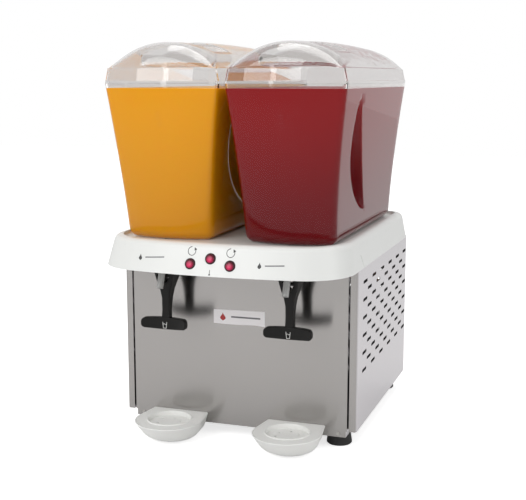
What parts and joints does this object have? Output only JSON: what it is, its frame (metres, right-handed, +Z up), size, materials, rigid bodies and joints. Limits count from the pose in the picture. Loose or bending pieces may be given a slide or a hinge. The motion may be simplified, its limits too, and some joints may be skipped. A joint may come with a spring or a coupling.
{
  "type": "juice dispenser",
  "caption": "Refrigerated juice dispenser: clear twin tanks with domed lids over a white cover, a vented steel cabinet, push taps with silicone spouts, and drip cups.",
  "frame": {"origin": "on the floor plane under the middle of the whole object's width and depth", "axes": "+Z up, -Y the front with the taps, +X to the right as seen from the front"},
  "size_m": [0.397, 0.4984, 0.627],
  "materials": {
    "cover_white": "gloss",
    "sheet_steel": "satin",
    "clear_plastic": "clear gloss",
    "lid_clear": "clear gloss",
    "black_plastic": "satin",
    "cup_white": "satin",
    "white_plastic": "satin",
    "silicone": "matt",
    "black_rubber": "matt",
    "polished_steel": "polished",
    "black_steel": "gloss",
    "bare_aluminium": "mill",
    "copper": "drawn",
    "foam": "matt",
    "button_red": "gloss",
    "switch_dark": "satin",
    "zinc": "plated"
  },
  "bodies": {
    "cabinet": {"base_tray": "sheet_steel", "foot_front_left": "black_rubber", "foot_front_right": "black_rubber", "foot_rear_left": "black_rubber", "foot_rear_right": "black_rubber", "screws": "zinc", "front_panel": "sheet_steel", "side_panel_left": "sheet_steel", "side_panel_right": "sheet_steel", "rear_panel": "sheet_steel", "cord_gland": "black_plastic", "top_cover": "cover_white", "insulation": "foam", "compressor": "black_steel", "compressor_grommets": "black_rubber", "condenser": "bare_aluminium", "fan_shroud": "black_plastic", "fan_motor": "black_steel", "fan_bracket": "zinc", "filter_drier": "copper", "refrigerant_lines": "copper", "terminal_box": "white_plastic", "thermostat": "white_plastic", "evaporator_left": "polished_steel", "tank_seal_left": "silicone", "stirrer_motor_left": "black_steel", "spout_fitting_left": "white_plastic", "spout_tube_left": "silicone", "tap_mount_left": "white_plastic", "lever_pin_left": "polished_steel", "lever_spring_left": "polished_steel", "evaporator_right": "polished_steel", "tank_seal_right": "silicone", "stirrer_motor_right": "black_steel", "spout_fitting_right": "white_plastic", "spout_tube_right": "silicone", "tap_mount_right": "white_plastic", "lever_pin_right": "polished_steel", "lever_spring_right": "polished_steel", "switch_left": "switch_dark", "switch_centre": "switch_dark", "switch_right": "switch_dark"},
    "tank_left": {"tank_left": "clear_plastic"},
    "lid_left": {"lid_left": "lid_clear"},
    "impeller_left": {"impeller_left": "white_plastic"},
    "drive_magnet_left": {"drive_magnet_left": "polished_steel"},
    "tap_lever_left": {"tap_lever_left": "black_plastic"},
    "drip_cup_left": {"drip_cup_left": "cup_white"},
    "drip_plate_left": {"drip_plate_left": "cup_white"},
    "tank_right": {"tank_right": "clear_plastic"},
    "lid_right": {"lid_right": "lid_clear"},
    "impeller_right": {"impeller_right": "white_plastic"},
    "drive_magnet_right": {"drive_magnet_right": "polished_steel"},
    "tap_lever_right": {"tap_lever_right": "black_plastic"},
    "drip_cup_right": {"drip_cup_right": "cup_white"},
    "drip_plate_right": {"drip_plate_right": "cup_white"},
    "fan_blade": {"fan_blade": "bare_aluminium"},
    "button_left": {"button_left": "button_red"},
    "button_centre": {"button_centre": "button_red"},
    "button_right": {"button_right": "button_red"}
  },
  "joints": [
    {"name": "tank_left_lift", "type": "slide", "parent": "cabinet", "child": "tank_left", "axis": [0, 0, 1], "range_m": [0, 0.2]},
    {"name": "lid_left_lift", "type": "slide", "parent": "tank_left", "child": "lid_left", "axis": [0, 0, 1], "range_m": [0, 0.15]},
    {"name": "drive_magnet_left_spin", "type": "hinge", "parent": "cabinet", "child": "drive_magnet_left", "pos_m": [-0.0975, 0.02325, 0.43], "axis": [0, 0, 1], "continuous": true},
    {"name": "impeller_left_spin", "type": "hinge", "parent": "cabinet", "child": "impeller_left", "pos_m": [-0.0975, 0.02325, 0.45], "axis": [0, 0, 1], "continuous": true},
    {"name": "tap_lever_left_pull", "type": "hinge", "parent": "cabinet", "child": "tap_lever_left", "pos_m": [-0.1014, -0.18925, 0.302], "axis": [1, 0, 0], "range_deg": [0, 16], "stiffness_Nm_per_rad": 1.2, "springref_deg": -14.32, "deforming": ["lever_spring_left"]},
    {"name": "drip_cup_left_slide", "type": "slide", "parent": "cabinet", "child": "drip_cup_left", "axis": [0, -1, 0], "range_m": [0, 0.06]},
    {"name": "drip_plate_left_lift", "type": "slide", "parent": "drip_cup_left", "child": "drip_plate_left", "axis": [0, 0, 1], "range_m": [0, 0.03]},
    {"name": "tank_right_lift", "type": "slide", "parent": "cabinet", "child": "tank_right", "axis": [0, 0, 1], "range_m": [0, 0.2]},
    {"name": "lid_right_lift", "type": "slide", "parent": "tank_right", "child": "lid_right", "axis": [0, 0, 1], "range_m": [0, 0.15]},
    {"name": "drive_magnet_right_spin", "type": "hinge", "parent": "cabinet", "child": "drive_magnet_right", "pos_m": [0.0975, 0.02325, 0.43], "axis": [0, 0, 1], "continuous": true},
    {"name": "impeller_right_spin", "type": "hinge", "parent": "cabinet", "child": "impeller_right", "pos_m": [0.0975, 0.02325, 0.45], "axis": [0, 0, 1], "continuous": true},
    {"name": "tap_lever_right_pull", "type": "hinge", "parent": "cabinet", "child": "tap_lever_right", "pos_m": [0.1014, -0.18925, 0.302], "axis": [1, 0, 0], "range_deg": [0, 16], "stiffness_Nm_per_rad": 1.2, "springref_deg": -14.32, "deforming": ["lever_spring_right"]},
    {"name": "drip_cup_right_slide", "type": "slide", "parent": "cabinet", "child": "drip_cup_right", "axis": [0, -1, 0], "range_m": [0, 0.06]},
    {"name": "drip_plate_right_lift", "type": "slide", "parent": "drip_cup_right", "child": "drip_plate_right", "axis": [0, 0, 1], "range_m": [0, 0.03]},
    {"name": "fan_spin", "type": "hinge", "parent": "cabinet", "child": "fan_blade", "pos_m": [0.112, 0.05325, 0.1182], "axis": [1, 0, 0], "continuous": true},
    {"name": "button_left_press", "type": "slide", "parent": "cabinet", "child": "button_left", "axis": [0, 0.9434, -0.3317], "range_m": [0, 0.002], "stiffness_N_per_m": 500, "springref_m": -0.001},
    {"name": "button_centre_press", "type": "slide", "parent": "cabinet", "child": "button_centre", "axis": [0, 0.9434, -0.3317], "range_m": [0, 0.002], "stiffness_N_per_m": 500, "springref_m": -0.001},
    {"name": "button_right_press", "type": "slide", "parent": "cabinet", "child": "button_right", "axis": [0, 0.9434, -0.3317], "range_m": [0, 0.002], "stiffness_N_per_m": 500, "springref_m": -0.001}
  ],
  "couplings": [
    {"joint": "impeller_left_spin", "follows": "drive_magnet_left_spin", "ratio": 1},
    {"joint": "impeller_right_spin", "follows": "drive_magnet_right_spin", "ratio": 1}
  ]
}
